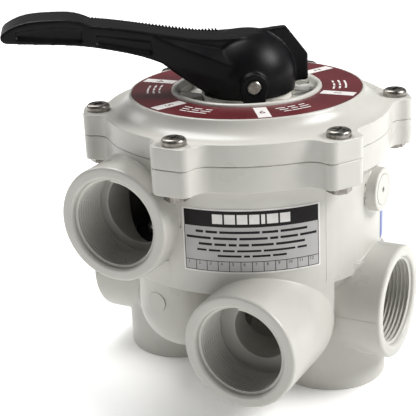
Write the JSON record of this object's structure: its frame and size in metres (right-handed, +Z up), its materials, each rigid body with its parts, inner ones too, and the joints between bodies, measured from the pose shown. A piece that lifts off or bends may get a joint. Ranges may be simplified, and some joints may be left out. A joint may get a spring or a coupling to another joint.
{
  "type": "multiport valve",
  "caption": "Multiport selector valve for a pool filter: round drum body with threaded ports and socket legs, bolted lobed cover, dial label and a press-and-turn lever.",
  "frame": {"origin": "where the stem axis meets the plane that the two legs stand on", "axes": "+Z up the stem axis towards the lever, +X through the right-hand lower port, -Y the way the two front ports face"},
  "size_m": [0.1974, 0.175, 0.2009],
  "materials": {
    "white_abs": "moulded, satin gloss",
    "rubber": "matte",
    "dial_film": "printed film",
    "label_film": "printed film",
    "blue_film": "printed film",
    "stainless": "bright",
    "spring_steel": "drawn wire",
    "grey_noryl": "moulded",
    "acetal": "moulded",
    "black_nylon": "moulded, glass filled"
  },
  "bodies": {
    "root": {"valve_body": "white_abs", "cover": "white_abs", "flange_ring": "rubber", "dial_label": "dial_film", "front_label": "label_film", "side_label": "blue_film", "spider_gasket": "rubber", "gallery_plug_front": "white_abs", "gallery_plug_back": "white_abs", "gauge_plug": "white_abs", "cover_screws": "stainless", "cover_nuts": "stainless", "spring_washer_upper": "stainless", "spring": "spring_steel"},
    "selector": {"wear_ring": "acetal"},
    "stem": {"stem": "grey_noryl", "rotor": "grey_noryl", "stem_rings": "rubber", "cross_pin": "stainless", "spring_washer_lower": "stainless"},
    "lever": {"lever": "black_nylon", "lever_pin": "stainless"}
  },
  "joints": [
    {"name": "selector_turn", "type": "hinge", "parent": "root", "child": "selector", "pos_m": [0, 0, 0.1535], "axis": [0, 0, 1], "continuous": true},
    {"name": "stem_lift", "type": "slide", "parent": "selector", "child": "stem", "axis": [0, 0, 1], "range_m": [0, 0.0054], "deforming": ["spring"]},
    {"name": "lever_press", "type": "hinge", "parent": "stem", "child": "lever", "pos_m": [0, 0, 0.1624], "axis": [0.5736, -0.8192, 0], "range_deg": [0, 12], "stiffness_Nm_per_rad": 1.2, "springref_deg": -55.41}
  ],
  "couplings": [
    {"joint": "lever_press", "follows": "stem_lift", "rad_per_m": 38.76}
  ]
}
